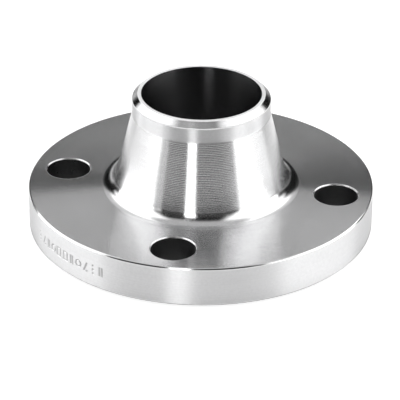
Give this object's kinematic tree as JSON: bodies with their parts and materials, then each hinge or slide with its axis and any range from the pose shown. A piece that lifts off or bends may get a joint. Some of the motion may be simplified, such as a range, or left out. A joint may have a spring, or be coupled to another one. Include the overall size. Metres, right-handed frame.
{
  "type": "weld neck pipe flange",
  "caption": "Raised face weld neck pipe flange: round plate with a ring of bolt holes, and a tapering turned hub that ends in a bevelled weld end",
  "frame": {"origin": "on the bore's axis, on the plane of the raised gasket face", "axes": "+Z along the bore towards the weld end; the bolt holes lie on +X, +Y, -X and -Y"},
  "size_m": [0.1524, 0.1524, 0.0632],
  "materials": {
    "stainless_steel": "turned, bright"
  },
  "bodies": {
    "root": {"weld_neck_flange": "stainless_steel"}
  },
  "joints": []
}
